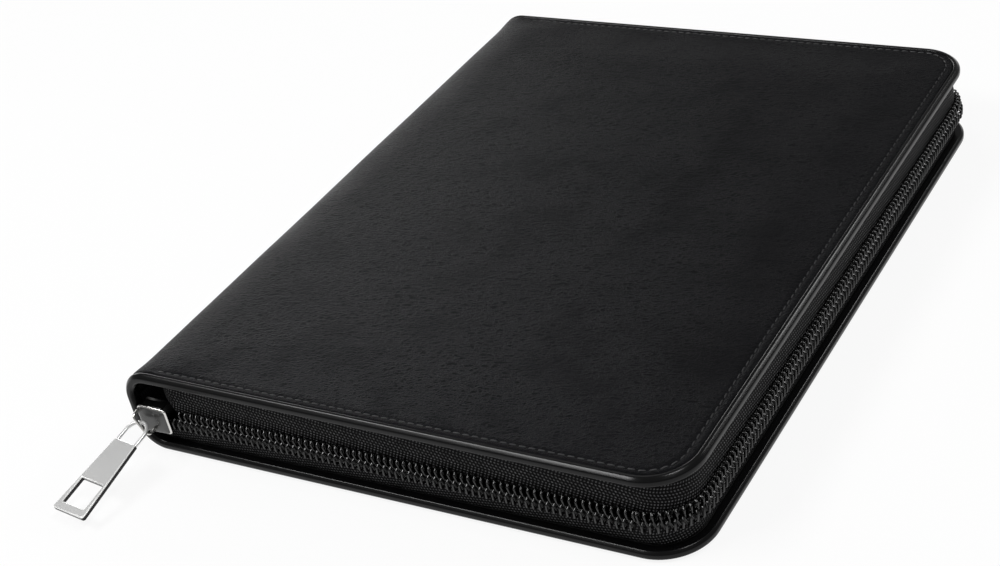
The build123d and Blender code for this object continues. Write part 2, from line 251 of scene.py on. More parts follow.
PAPER = (0.8, 0.79, 0.75)
RULE = (0.36, 0.40, 0.46)
RULE_PITCH = 7.5 * MM
SHEET_PITCH = 0.3 * MM


def paper_material():
    """Writing paper: ruled face and the fine edges of many sheets."""
    graph = shader("paper", PAPER, 0.85, Specular_IOR_Level=0.2)
    _, y, z = graph.split(graph.spot())
    normal = graph.split(graph.add("NewGeometry", {})["True Normal"])
    flat = graph.maths("GREATER_THAN", graph.maths("ABSOLUTE", normal["Z"]), 0.5)
    rule = graph.maths("GREATER_THAN", graph.wave(y, RULE_PITCH), 0.997)
    rule = graph.maths("MULTIPLY", rule, flat)
    stack = graph.noise(graph.place((1 / 4, 1 / 4, 1 / 900)), 3.0, 2.0)
    edge = graph.maths("MULTIPLY", graph.wave(z, SHEET_PITCH), stack)
    edge = graph.maths("MULTIPLY", edge, graph.maths("SUBTRACT", 1.0, flat))
    tone = graph.maths("ADD", graph.maths("MULTIPLY", rule, 0.55), graph.maths("MULTIPLY", edge, 0.6))
    graph.feed("Base Color", graph.mix(tone, PAPER, RULE))
    graph.bump([(graph.noise(graph.place(), 1400.0, 2.0), 0.15, 0.00005)])
    return graph.owner


def card_material(name, dark, light):
    """Pressed board with flecks of fibre."""
    graph = shader(name, dark, 0.85, Specular_IOR_Level=0.15)
    fleck = graph.noise(graph.place(), 500.0, 4.0, 0.7)
    graph.feed("Base Color", graph.mix(graph.ramp(fleck, 0.35, 0.65), dark, light))
    graph.bump([(fleck, 0.3, 0.0001)])
    return graph.owner


leather = leather_material("cover_leather", (0.0024, 0.0024, 0.0027), (0.0048, 0.0048, 0.0054),
                           (0.365, 0.395), 1.75, 0.055)
inner_leather = leather_material("pocket_leather", (0.010, 0.010, 0.0105), (0.016, 0.016, 0.017),
                                 (0.42, 0.56), 0.8, 0.2)
binding = wire_material("edge_binding", (0.0025, 0.0025, 0.0027), 0.2, 0.02, Specular_IOR_Level=0.2)
lining = cloth_material("lining", (0.012, 0.012, 0.013), (0.035, 0.035, 0.037), 0.9)
elastic = cloth_material("elastic", (0.006, 0.006, 0.006), (0.03, 0.03, 0.03), 1.0)
head_cloth = cloth_material("head_tape", (0.02, 0.02, 0.022), (0.05, 0.05, 0.054), 0.7)
tape_cloth = tape_material()
coil_nylon = wire_material("zipper_coil", (0.002, 0.002, 0.002), 0.14, 0.01, Specular_IOR_Level=0.45)
thread = wire_material("stitch_thread", (0.02, 0.02, 0.021), 0.45, 0.12, Specular_IOR_Level=0.5)
nickel = wire_material("slider_metal", (0.68, 0.67, 0.65), 0.16, 0.03, Metallic=1.0)
# Dark metal of the slider's plates, rails and post: a painted dark reflection on bright metal.
slider_dark_reflection = wire_material("slider_painted_dark_reflection", (0.085, 0.085, 0.084), 0.28, 0.03, Metallic=1.0)
satin = wire_material("pull_metal", (0.70, 0.70, 0.695), 0.3, 0.003, Metallic=0.6)
# Near-white bevel metal of the pull: a painted highlight along its bevels.
bevel_highlight_metal = wire_material("pull_bevel_painted_highlight", (0.96, 0.96, 0.95), 0.18, 0.003, Metallic=0.35)
# Near-black side metal of the pull: a painted dark reflection on its sides.
side_dark_reflection_metal = wire_material("pull_side_painted_dark", (0.03, 0.03, 0.03), 0.25, 0.02, Metallic=1.0)


# Mesh tools


def placed(name, data):
    """New object in the scene."""
    made = bpy.data.objects.new(name, data)
    bpy.context.scene.collection.objects.link(made)
    return made


def make(name, verts, faces, materials, body, indices=None, weave=None, crease=35.0):
    """Mesh piece from millimetre points, smooth except at creases; body is None for a blended piece."""
    mesh = bpy.data.meshes.new(name)
    mesh.from_pydata([(x * MM, y * MM, z * MM) for x, y, z in verts], [], faces)
    if indices is not None:
        mesh.polygons.foreach_set("material_index", indices)
    if weave is not None:
        attribute = mesh.attributes.new("weave", "FLOAT_VECTOR", "POINT")
        attribute.data.foreach_set("vector", np.asarray(weave, np.float32).ravel())
    bm = bmesh.new()
    bm.from_mesh(mesh)
    bmesh.ops.recalc_face_normals(bm, faces=bm.faces)
    for face in bm.faces:
        face.smooth = True
    for edge in bm.edges:
        edge.smooth = len(edge.link_faces) < 2 or edge.calc_face_angle(0) < radians(crease)
    bm.to_mesh(mesh)
    bm.free()
    made = placed(name, mesh)
    for material in materials:
        mesh.materials.append(material)
    if body:
        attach(made, body)
    return made


def grid(rows, columns, wrap=False):
    """Quads of a grid of points; wrap joins the last column to the first."""
    faces = []
    for row in range(rows - 1):
        for column in range(columns if wrap else columns - 1):
            beside = (column + 1) % columns
            low, high = row * columns, (row + 1) * columns
            faces.append((low + column, low + beside, high + beside, high + column))
    return faces


def rings(count, size):
    """Faces of count closed rings of points, joined in a row and capped at both ends."""
    last = (count - 1) * size
    return grid(count, size, wrap=True) + [tuple(range(size)), tuple(range(last, last + size))]


def shell_faces(columns, rows):
    """Faces of two grids of points, one over the other, closed round the rim.

    Also gives 1 for each face of the second grid, and 0 for the others.
    """
    total = columns * rows
    shell = grid(columns, rows)
    rim = list(range(rows))
    rim += [column * rows + rows - 1 for column in range(1, columns)]
    rim += [(columns - 1) * rows + row for row in range(rows - 2, -1, -1)]
    rim += [column * rows for column in range(columns - 2, 0, -1)]
    faces = shell + [tuple(total + index for index in face) for face in shell]
    faces += [(a, b, b + total, a + total) for a, b in zip(rim, rim[1:] + rim[:1])]
    return faces, [0] * len(shell) + [1] * len(shell) + [0] * len(rim)


def sewn_at(run, first_x, side, end, corner):
    """Point at that run along an outline sewn on three sides, and its inward normal.

    It starts at first_x on the front. side and end are the centre of its rounded corners.
    """
    front, bend = side - first_x, corner * pi / 2
    if run <= front:
        return first_x + run, -end - corner, 0.0, 1.0
    run -= front
    if run <= bend:
        turn = run / corner - pi / 2
        return side + corner * cos(turn), -end + corner * sin(turn), -cos(turn), -sin(turn)
    run -= bend
    if run <= 2 * end:
        return side + corner, run - end, -1.0, 0.0
    run -= 2 * end
    if run <= bend:
        turn = run / corner
        return side + corner * cos(turn), end + corner * sin(turn), -cos(turn), -sin(turn)
    return side - run + bend, end + corner, 0.0, -1.0


def edge_at(run):
    """Point of the case's sewn edge at that run from the front of the spine, and its inward normal."""
    return sewn_at(run, -HALF_X, CENTRE_X, CENTRE_Y, CORNER)


CORNER_STEP = 1.2


def edge_runs(first, last, step):
    """Runs from first to last, closer together round the corners."""
    marks = [first, FRONT_RUN, FRONT_RUN + CORNER_RUN]
    marks += [EDGE_RUN - FRONT_RUN - CORNER_RUN, EDGE_RUN - FRONT_RUN, last]
    runs = []
    for index, (start, end) in enumerate(zip(marks, marks[1:])):
        count = ceil((end - start) / (CORNER_STEP if index % 2 else step))
        runs += [start + (end - start) * part / count for part in range(count)]
    return runs + [last]


def rounded(corners, radii, steps=6):
    """Closed outline with each corner rounded by its radius."""
    outline = []
    count = len(corners)
    for index, radius in enumerate(radii):
        here = Vector(corners[index])
        before = (Vector(corners[index - 1]) - here).normalized()
        after = (Vector(corners[(index + 1) % count]) - here).normalized()
        if radius <= 0:
            outline.append(tuple(here))
            continue
        half = before.angle(after) / 2
        reach = radius * cos(half) / sin(half)
        middle = here + (before + after).normalized() * (radius / sin(half))
        first = here + before * reach - middle
        last = here + after * reach - middle
        turn = first.angle_signed(last)
        for part in range(steps + 1):
            spin = Matrix.Rotation(-turn * part / steps, 2)
            outline.append(tuple(middle + spin @ first))
    return outline


def sweep(stations, profile, cap=True):
    """Closed profile carried along stations of (point, side, depth); returns points and faces."""
    verts = [point + side * a + depth * b for point, side, depth in stations for a, b in profile]
    if cap:
        return verts, rings(len(stations), len(profile))
    return verts, grid(len(stations), len(profile), wrap=True)


def heading(points, index):
    """Direction of a path at one of its points."""
    ahead = points[min(index + 1, len(points) - 1)] - points[max(index - 1, 0)]
    return ahead.normalized()


def tube(path, radius, sides):
    """Round tube along a path, with its ends capped; radius may be a list."""
    points = [Vector(p) for p in path]
    radii = radius if isinstance(radius, list) else [radius] * len(points)
    normal = None
    verts = []
    for index, point in enumerate(points):
        ahead = heading(points, index)
        if normal is None:
            normal = ahead.orthogonal().normalized()
        normal = (normal - ahead * normal.dot(ahead)).normalized()
        beside = ahead.cross(normal)
        for part in range(sides):
            angle = 2 * pi * part / sides
            verts.append(point + radii[index] * (normal * cos(angle) + beside * sin(angle)))
    return verts, rings(len(points), sides)


def join(parts):
    """One list of points and one of faces from several pairs."""
    verts, faces = [], []
    for some_verts, some_faces in parts:
        start = len(verts)
        verts += some_verts
        faces += [tuple(start + index for index in face) for face in some_faces]
    return verts, faces


def over(verts):
    """The same points mirrored about the middle height of the case."""
    return [(x, y, HEIGHT - z) for x, y, z in verts]


def inside_of(across, along, corner):
    """Distance inwards from a rounded outline, from the distances to its side and its end."""
    if across < corner and along < corner:
        return corner - hypot(corner - across, corner - along)
    return min(across, along)


def corner_cut(reach, corner):
    """How much shorter a rounded outline is at that reach into its corner."""
    return corner - sqrt(max(0.0, corner ** 2 - max(0.0, reach) ** 2))


def rolled_edge(inside, width):
    """Share of a rolled edge's drop at that distance inwards."""
    rolled = max(0.0, 1.0 - inside / width)
    return 1.0 - sqrt(max(0.0, 1.0 - rolled * rolled))


def held(share):
    return min(1.0, max(0.0, share))


def eased(share):
    share = held(share)
    return share * share * (3 - 2 * share)


# Covers: padded leather that runs round half of the spine

EDGE_INSET = BINDING + 0.03
LEATHER_CORNER = CORNER - EDGE_INSET
EDGE_ROLL = 1.1
EDGE_DROP = 0.5
STITCH_SIDE = 5.0
STITCH_END = 4.1
STITCH_CORNER = 11.0
STITCH_FROM = -82.0
GROOVE_FADE = 3.0
GROOVE_DEPTH = 0.3
GROOVE_WIDTH = 0.75
CROWN = 0.8
CROWN_RISE = 26.0
END_RISE = 9.0
HOLD_FROM = -50.0
ROLL_FROM = -75.0
ROLL_DROP = 0.85
ROLL_SLOPE = 2 * ROLL_DROP / (ROLL_FROM - FOLD_X)
FOLD_ARC = FOLD * pi / 2
FOLD_STEP = 5
UNEVEN = ((0.10, 34.0), (0.035, 12.0))  # height and size
UNEVEN_FROM = 20.0
CLEARANCE = 0.04
PAD_FROM = 0.4
PAD_GAP = 0.02

# Insets of the mesh's columns and rows, closer together at the edges
SIDE_INSETS = (0.0, 0.12, 0.3, 0.55, 0.85, 1.15, 1.5, 1.9, 2.2, 2.5, 2.8, 3.1, 3.5, 4.2, 5.5, 7.5, 10.0)
END_INSETS = (0.0, 0.12, 0.3, 0.55, 0.85, 1.1, 1.4, 1.7, 2.0, 2.3, 2.7, 3.2, 4.2, 6.0, 9.0)
ROLL_INSETS = (10.0, 8.8, 7.6, 6.4, 5.2, 4.0, 3.0, 2.0, 1.2, 0.6)
TOP_COLUMNS = 40
MIDDLE_ROWS = 58
SPINE_STEPS = 4


def plan_distance(x, y, side, end, corner):
    """Distance inwards from a sewn outline with those insets and corner radius."""
    return inside_of(HALF_X - side - x, HALF_Y - end - abs(y), corner)


def leather_drop(x, y, flat):
    """How far the leather's rolled edge and sewn groove lie below the cover's plane."""
    inside = plan_distance(x, y, EDGE_INSET, EDGE_INSET, LEATHER_CORNER)
    if not flat:
        inside = HALF_Y - EDGE_INSET - abs(y)
    drop = EDGE_DROP * rolled_edge(inside, EDGE_ROLL)
    if flat:
        seam = plan_distance(x, y, STITCH_SIDE, STITCH_END, STITCH_CORNER)
        fade = held((x - STITCH_FROM + GROOVE_FADE) / (2 * GROOVE_FADE))
        drop += GROOVE_DEPTH * fade * exp(-(seam / GROOVE_WIDTH) ** 2)
    return drop


def fold_at(angle):
    """Point (x, z) of the upper fold at that angle, and its inward normal."""
    out_x, out_z = cos(radians(angle)), sin(radians(angle))
    return FOLD_X + FOLD * out_x, HEIGHT - FOLD + FOLD * out_z, -out_x, -out_z


def leather_columns():
    """Columns (x, z, inward normal) from the zip side over the fold to the middle of the spine."""
    left = HALF_X - EDGE_INSET - LEATHER_CORNER
    flat = [HALF_X - EDGE_INSET - inset for inset in SIDE_INSETS]
    flat += [left + (ROLL_FROM - left) * part / TOP_COLUMNS for part in range(TOP_COLUMNS)]
    flat += [FOLD_X + inset for inset in ROLL_INSETS]
    columns = [(x, HEIGHT, 0.0, -1.0) for x in flat]
    columns += [fold_at(angle) for angle in range(90, 180 + FOLD_STEP, FOLD_STEP)]
    for part in range(1, SPINE_STEPS + 1):
        columns.append((-HALF_X, HEIGHT - FOLD - (MID_Z - FOLD) * part / SPINE_STEPS, 1.0, 0.0))
    return columns


def leather_points(depth_of, soft):
    """Grid of points of the upper leather at a depth given by place and softness, and its row size."""
    verts = []
    for x, z, nx, nz in leather_columns():
        flat = nz == -1.0
        reach = x - (HALF_X - EDGE_INSET - LEATHER_CORNER)
        half = HALF_Y - EDGE_INSET - corner_cut(reach, LEATHER_CORNER)
        ends = [half - inset for inset in END_INSETS]
        last = ends[-1]
        middle = [last - 2 * last * part / MIDDLE_ROWS for part in range(1, MIDDLE_ROWS)]
        rows = ends + middle + [-y for y in reversed(ends)]
        for y in rows:
            depth = depth_of(x, y, z, flat, soft)
            verts.append((x + nx * depth, y, z + nz * depth))
    return verts, len(rows)


def spread(x, y, z, flat):
    """How far padded leather sinks from the cover's plane: a slight crown that rolls off into the spine."""
    rise = eased((HALF_Y - EDGE_INSET - abs(y)) / END_RISE)
    if flat:
        inside = plan_distance(x, y, EDGE_INSET, EDGE_INSET, LEATHER_CORNER)
        near = eased((HOLD_FROM - x) / (HOLD_FROM - ROLL_FROM))
        roll = held((ROLL_FROM - x) / (ROLL_FROM - FOLD_X))
        rise *= near + (1.0 - near) * eased(inside / CROWN_RISE)
        return rise * (ROLL_DROP * roll * roll - CROWN)
    if z <= HEIGHT - FOLD:
        return 0.0
    share = atan2(FOLD_X - x, z - HEIGHT + FOLD) * FOLD / FOLD_ARC
    kept = 2 * share ** 3 - 3 * share ** 2 + 1
    rolled_on = share ** 3 - 2 * share ** 2 + share
    return rise * ((ROLL_DROP - CROWN) * kept + ROLL_SLOPE * FOLD_ARC * rolled_on)


def outer_depth(x, y, z, flat, soft):
    """Depth of the outer face: crown, rolled edge, sewn groove and slight unevenness."""
    spot = Vector((x, y, z))
    uneven = sum(height * noise.noise(spot / size) for height, size in UNEVEN)
    even = CLEARANCE + leather_drop(x, y, flat) + soft * spread(x, y, z, flat)
    return even - uneven * min(1.0, (HALF_Y - abs(y)) / UNEVEN_FROM)


def inner_depth(x, y, z, flat, soft):
    """Depth of the inner face: the padding ends where the fold begins."""
    share = held(x - FOLD_X - PAD_FROM) if flat else 0.0
    sunk = max(0.0, soft * spread(x, y, z, flat)) * (1.0 - share)
    return LEATHER + (PADDED - PAD_GAP - LEATHER) * share + sunk


def leather_skin(soft):
    """Points of the outer and inner face, and the size of their rows."""
    outer, row_size = leather_points(outer_depth, soft)
    return outer + leather_points(inner_depth, soft)[0], row_size


verts, row_size = leather_skin(1.0)
faces, indices = shell_faces(len(leather_columns()), row_size)
upper_leather = make("upper_leather", verts, faces, [leather, lining], None, indices)
lower_leather = make("lower_leather", over(leather_skin(0.0)[0]), faces, [leather, lining], None, indices)


def bend_lower(piece):
    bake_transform(piece)


def bend_upper(piece):
    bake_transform(piece)


bend_upper(upper_leather)
bend_lower(lower_leather)
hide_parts("top_leather", "top_padding", "spine_leather")
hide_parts("bottom_leather", "bottom_padding")

# Bindings: a pressed band round the sewn edges and the open ends of the spine

BINDING_STEP = 4.0
BINDING_LAP = 3.2
LIP = 0.14


def spine_stations(y, side):
    """Stations up the spine and round its upper fold at one end."""
    stations = []
    for part in range(SPINE_STEPS + 1):
        z = MID_Z + (HEIGHT - FOLD - MID_Z) * part / SPINE_STEPS
        stations.append((Vector((-HALF_X, y, z)), side, Vector((1, 0, 0))))
    for angle in range(180 - FOLD_STEP, 90, -FOLD_STEP):
        x, z, nx, nz = fold_at(angle)
        stations.append((Vector((x, y, z)), side, Vector((nx, 0, nz))))
    return stations


def binding_stations():
    stations = spine_stations(-HALF_Y, Vector((0, 1, 0)))
    for run in edge_runs(FOLD, EDGE_RUN - FOLD, BINDING_STEP):
        x, y, nx, ny = edge_at(run)
        stations.append((Vector((x, y, HEIGHT)), Vector((nx, ny, 0)), Vector((0, 0, -1))))
    return stations + spine_stations(HALF_Y, Vector((0, -1, 0)))[::-1]


band_corners = [(1.25, 0), (0, 1.05), (0, COVER - 0.68), (0.9, COVER + LIP), (BINDING_LAP, COVER + LIP)]
band_corners += [(BINDING_LAP, COVER + 0.02), (BINDING, COVER - 0.02), (BINDING, 0)]
band = rounded(band_corners, [1.2, 1.0, 0.8, 0.6, 0, 0, 0, 0.7], 7)
verts, faces = sweep(binding_stations(), band)
upper_binding = make("upper_binding", verts, faces, [binding], None)
lower_binding = make("lower_binding", over(verts), faces, [binding], None)
bend_upper(upper_binding)
bend_lower(lower_binding)
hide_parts("top_binding", "spine_end_bindings")
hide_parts("bottom_binding")

# Stitching along the sewn edges of both covers

STITCH_PITCH = 3.0
STITCH_LENGTH = 2.3
STITCH_RADIUS = 0.24
STITCH_SLANT = 0.12
STITCH_DIP = 0.42
STITCH_SINK = 0.03
STITCH_X = HALF_X - STITCH_SIDE - STITCH_CORNER
STITCH_Y = HALF_Y - STITCH_END - STITCH_CORNER
STITCH_RUN = 2 * (STITCH_X - STITCH_FROM) + STITCH_CORNER * pi + 2 * STITCH_Y


def stitch(x, y, ahead_x, ahead_y, level):
    """One stitch at a point of a seam, dipping into the leather at both ends; level is its top."""
    path = []
    for part in range(7):
        share = part / 3 - 1
        reach = share * STITCH_LENGTH / 2
        slant = STITCH_SLANT * share
        z = level - STITCH_RADIUS - STITCH_DIP * share ** 4
        path.append((x + ahead_x * reach - ahead_y * slant, y + ahead_y * reach + ahead_x * slant, z))
    return tube(path, STITCH_RADIUS, 6)


stitches = []
for number in range(int(STITCH_RUN / STITCH_PITCH)):
    run = (number + 0.5) * STITCH_PITCH
    x, y, nx, ny = sewn_at(run, STITCH_FROM, STITCH_X, STITCH_Y, STITCH_CORNER)
    stitches.append(stitch(x, y, ny, -nx, HEIGHT - STITCH_SINK))
verts, faces = join(stitches)
upper_stitching = make("upper_stitching", verts, faces, [thread], "top_cover")
lower_stitching = make("lower_stitching", over(verts), faces, [thread], "bottom_cover")

# Zipper tapes: a wall that bows out to the coil and a hem sewn under the cover

TAPE_STEP = 5.0
TAIL_RADIUS = 8.0
TAIL_ANGLES = (12, 24, 36, 48, 60, 72)
TAIL_HEM = 2.0
TUCKED = 10.4


def tape_profile(top, hem):
    """Section of the lower tape as (inset, height): up the outer face, over and down the inner one."""
    face = [(hem, 0.02), (4.4, 0.02), (3.7, 0.15), (3.25, 0.6), (3.02, 1.5), (2.86, 3.0), (2.72, 4.6)]
    face = [(inset, COVER + height) for inset, height in face]
    face += [(COIL_DEPTH + 0.02, COVER + 6.2), (COIL_DEPTH + 0.02, top)]
    back = []
    for index, (inset, height) in enumerate(face):
        if index < 2:
            back.append((inset, height + TAPE - 0.06))
        elif index < 4:
            back.append((inset + TAPE * 0.75, height + TAPE * 0.6))
        else:
            back.append((inset + TAPE - 0.05, height))
    return face + back[::-1]


def tape_tail(start, inward):
    """Stations of a tape's loose end, which turns in behind the spine."""
    stations = []
    for angle in TAIL_ANGLES:
        turn = radians(angle)
        step = Vector((-sin(turn), inward * (1 - cos(turn)), 0)) * TAIL_RADIUS
        stations.append((start + step, Vector((sin(turn), inward * cos(turn), 0)), angle / TAIL_ANGLES[-1]))
    return stations


def tape(name, start, top, body, flip, tucked):
    """Tape piece along the sewn edge; tucked is the height of a front end that clears the slider, or None."""
    stations = []
    for run in edge_runs(start, EDGE_RUN - TAPE_END, TAPE_STEP):
        x, y, nx, ny = edge_at(run)
        stations.append((Vector((x, y, 0)), Vector((nx, ny, 0)), 0.0))
    front = tape_tail(stations[0][0], 1)[::-1] if tucked else []
    stations = front + stations + tape_tail(stations[-1][0], -1)
    verts, weave = [], []
    run = 0.0
    for index, (point, side, share) in enumerate(stations):
        if index:
            run += (point - stations[index - 1][0]).length
        high = top
        if index < len(front):
            high = top + (tucked - top) * min(1.0, 3 * share)
        section = tape_profile(top, TAPE_HEM - TAIL_HEM * share)
        along = 0.0
        for number, (inset, height) in enumerate(section):
            if number:
                along += hypot(inset - section[number - 1][0], height - section[number - 1][1])
            height = COVER + (height - COVER) * (high - COVER) / (top - COVER)
            verts.append(point + side * inset + Vector((0, 0, height)))
            weave.append((run, along, 0.0))
    faces = rings(len(stations), len(section))
    made = make(name, over(verts) if flip else verts, faces, [tape_cloth], body, weave=weave)
    return made


lower_tape = tape("lower_tape", LOWER_TAPE_START, ZIP_Z - TAPE_GAP, "bottom_cover", False, None)
upper_tape = tape("upper_tape", UPPER_TAPE_START, HEIGHT - ZIP_Z - TAPE_GAP, "top_cover", True, TUCKED)
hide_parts("lower_zipper_tape")
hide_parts("upper_zipper_tape")

# Zipper coil: one bent wire for each row

COIL_WIRE = 0.43
WIRE_SIDES = 8
ROOT_FLAT = (1.2, 0.64)
HEAD_FLAT = (1.10, 0.77)
UPPER_LEAN = 0.19
LOWER_LEAN = -0.09
TURN_LAG = 0.12
TURN_SHIFT = 0.13
FIRST_TOOTH = 0.6
BEND_FROM = 1.0
BEND_WIDTH = 0.6
WIRE_WIDE = (0.78, 0.42)  # share on the straight, and what a bend adds
WIRE_THICK = (0.84, -0.24)


def tooth_runs(side, start):
    """Runs at which a row has its teeth; side is 1 for the upper row and -1 for the lower."""
    phase = COIL_PITCH * (0.25 if side > 0 else 0.75)
    count = int((FRONT_RUN - phase - start - FIRST_TOOTH) / COIL_PITCH)
    runs = [FRONT_RUN - phase - COIL_PITCH * index for index in range(count, -1, -1)]
    share = phase / COIL_PITCH
    step = CORNER_RUN / CORNER_TEETH
    first = FRONT_RUN
    for straight in (SIDE_RUN, FRONT_RUN - COIL_END):
        runs += [first + (index + share) * step for index in range(CORNER_TEETH)]
        first += CORNER_RUN
        runs += [first + phase + COIL_PITCH * index for index in range(int(straight / COIL_PITCH))]
        first += straight
    return runs


def turn_outline():
    """One turn of the wire as (depth, height) points: an oval with its two outer corners pressed flat."""
    near, far = COIL_WIRE, COIL_DEPTH - COIL_WIRE
    head, root = COIL_WIRE - COIL_OVERLAP, COIL_HALF - COIL_WIRE
    corners = [(near + ROOT_FLAT[0], root), (near, root - ROOT_FLAT[1]), (near, head + HEAD_FLAT[1])]
    corners += [(near + HEAD_FLAT[0], head), (far, head + 0.3), (far, root - 0.3)]
    return rounded(corners, [0.25, 0.5, 0.5, 0.3, 0.3, 0.25], 3)


def coil(name, side, start, body):
    """Wire wound round a flat oval, one turn for each tooth, flattened where it bends.

    Most of a turn's advance is on its inner side.
    """
    runs = tooth_runs(side, start)
    lean = UPPER_LEAN if side > 0 else LOWER_LEAN
    outline = turn_outline()
    lengths = [hypot(b[0] - a[0], b[1] - a[1]) for a, b in zip(outline, outline[1:] + outline[:1])]
    middle = (COIL_HALF - COIL_OVERLAP) / 2
    points, beside, bends = [], [], []
    for first, last in zip(runs, runs[1:]):
        gone = 0.0
        for (depth, height), length in zip(outline, lengths):
            share = gone / sum(lengths)
            gone += length
            lag = share - TURN_LAG * (1 - cos(2 * pi * share))
            x, y, nx, ny = edge_at(first + (last - first) * (lag - TURN_SHIFT))
            depth += lean * (COIL_HALF - height)
            points.append(Vector((x + nx * depth, y + ny * depth, ZIP_Z + side * height)))
            beside.append(Vector((-ny, nx, 0)))
            bends.append(eased((abs(height - middle) - BEND_FROM) / BEND_WIDTH))
    verts = []
    for index, point in enumerate(points):
        ahead = heading(points, index)
        along = (beside[index] - ahead * beside[index].dot(ahead)).normalized()
        out = ahead.cross(along)
        wide = COIL_WIRE * (WIRE_WIDE[0] + WIRE_WIDE[1] * bends[index])
        thick = COIL_WIRE * (WIRE_THICK[0] + WIRE_THICK[1] * bends[index])
        for part in range(WIRE_SIDES):
            angle = 2 * pi * part / WIRE_SIDES
            verts.append(point + along * (wide * cos(angle)) + out * (thick * sin(angle)))
    return make(name, verts, rings(len(points), WIRE_SIDES), [coil_nylon], body, crease=80.0)


lower_coil = coil("lower_coil", -1, LOWER_COIL_START, "bottom_cover")
upper_coil = coil("upper_coil", 1, UPPER_COIL_START, "top_cover")
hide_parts("lower_coil_front", "lower_coil_sides")
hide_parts("upper_coil_front", "upper_coil_sides")

# Slider, bail and pull

FACE_TILT = 0.97
SIDE_TILT = 0.35


def cut_plate(name, outlines, thickness, bevel, matrix, materials, body):
    """Bevelled plate with the first outline as its edge and the others as holes, in a plane's own axes.

    Three materials are those of its faces, its bevels and its sides.
    """
    curve = bpy.data.curves.new(name, "CURVE")
    curve.dimensions = "2D"
    curve.fill_mode = "BOTH"
    curve.extrude = thickness / 2 - bevel
    curve.bevel_depth = bevel
    curve.bevel_resolution = 3
    curve.offset = -bevel
    for outline in outlines:
        spline = curve.splines.new("POLY")
        spline.points.add(len(outline) - 1)
        for point, (x, y) in zip(spline.points, outline):
            point.co = (x, y, 0, 1)
        spline.use_cyclic_u = True
    holder = placed(name, curve)
    bpy.context.view_layer.update()
    flat = bpy.data.meshes.new_from_object(holder.evaluated_get(bpy.context.evaluated_depsgraph_get()))
    bpy.data.objects.remove(holder)
    bm = bmesh.new()
    bm.from_mesh(flat)
    bmesh.ops.remove_doubles(bm, verts=bm.verts, dist=1e-4)
    bm.normal_update()
    verts = [tuple(matrix @ vert.co) for vert in bm.verts]
    faces = [tuple(vert.index for vert in face.verts) for face in bm.faces]
    indices = None
    if len(materials) == 3:
        tilts = [abs(face.normal.z) for face in bm.faces]
        indices = [0 if tilt > FACE_TILT else 1 if tilt > SIDE_TILT else 2 for tilt in tilts]
    bm.free()
    return make(name, verts, faces, materials, body, indices, crease=10.0)


def axes(origin, right, normal):
    """Matrix of a plane from its origin, first axis and normal."""
    right, normal = Vector(right), Vector(normal)
    up = normal.cross(right)
    turned = Matrix((right, up, normal)).transposed().to_4x4()
    return Matrix.Translation(Vector(origin)) @ turned


SLIDER_X = -91.0
SLIDER_LENGTH = 11.5
SLIDER_PLATE = 0.9
OUTER_FACE = -121.2
INNER_FACE = -115.6
RAIL_Y = -118.9
POST_Y = -118.4
slider_corners = [(0, -5.0), (SLIDER_LENGTH, -4.6), (SLIDER_LENGTH, 4.6), (0, 5.0)]
slider_outline = rounded(slider_corners, [2.2, 1.2, 1.2, 2.2])

# Rings of a slider plate, as the outline's share and the height, and those of its rolled rim that get bright
# nickel as a painted highlight
DOME = ((1.0, -SLIDER_PLATE), (1.0, -0.66), (0.99, -0.52), (0.965, -0.38), (0.92, -0.25),
        (0.85, -0.14), (0.75, -0.07), (0.6, -0.03), (0.35, -0.01), (0.1, 0.0))
HIGHLIGHT_RINGS = (1, 2, 3)


def dome(name, plane):
    """Cast plate of the slider, crowned and with rolled edges; its middle is dark metal as a painted dark
    reflection and its rim is bright nickel as a painted highlight.
    """
    middle = Vector((SLIDER_LENGTH / 2, 0))
    verts = []
    for shrink, level in DOME:
        for point in slider_outline:
            x, y = middle + (Vector(point) - middle) * shrink
            verts.append(plane @ Vector((x, y, level)))
    size = len(slider_outline)
    indices = [1 if ring in HIGHLIGHT_RINGS else 0 for ring in range(len(DOME) - 1) for _ in range(size)] + [0, 0]
    return make(name, verts, rings(len(DOME), size), [slider_dark_reflection, nickel], "slider", indices, crease=50.0)


def slider_plane(y):
    """Plane of the slider that looks to the front, at that Y."""
    return axes((SLIDER_X, y, ZIP_Z), (1, 0, 0), (0, -1, 0))


mirrored = Matrix.Translation((SLIDER_LENGTH, 0, 0)) @ Matrix.Diagonal((-1, 1, 1, 1))
back_plane = axes((SLIDER_X + SLIDER_LENGTH, INNER_FACE, ZIP_Z), (-1, 0, 0), (0, 1, 0))
pieces = [dome("slider_front", slider_plane(OUTER_FACE)), dome("slider_back", back_plane @ mirrored)]
rail = rounded([(1.9, 4.1), (9.9, 4.1), (9.9, 4.9), (1.9, 4.9)], [0.35] * 4, 4)
for name, side in (("slider_upper_rail", 1), ("slider_lower_rail", -1)):
    outline = [(x, y * side) for x, y in rail][::side]
    pieces.append(cut_plate(name, [outline], 3.0, 0.15, slider_plane(RAIL_Y), [slider_dark_reflection], "slider"))
post = rounded([(0.7, -1.6), (4.1, -1.2), (4.1, 1.2), (0.7, 1.6)], [1.2, 1.0, 1.0, 1.2])
pieces.append(cut_plate("slider_post", [post], 4.6, 0.1, slider_plane(POST_Y), [slider_dark_reflection], "slider"))
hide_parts("slider_body")

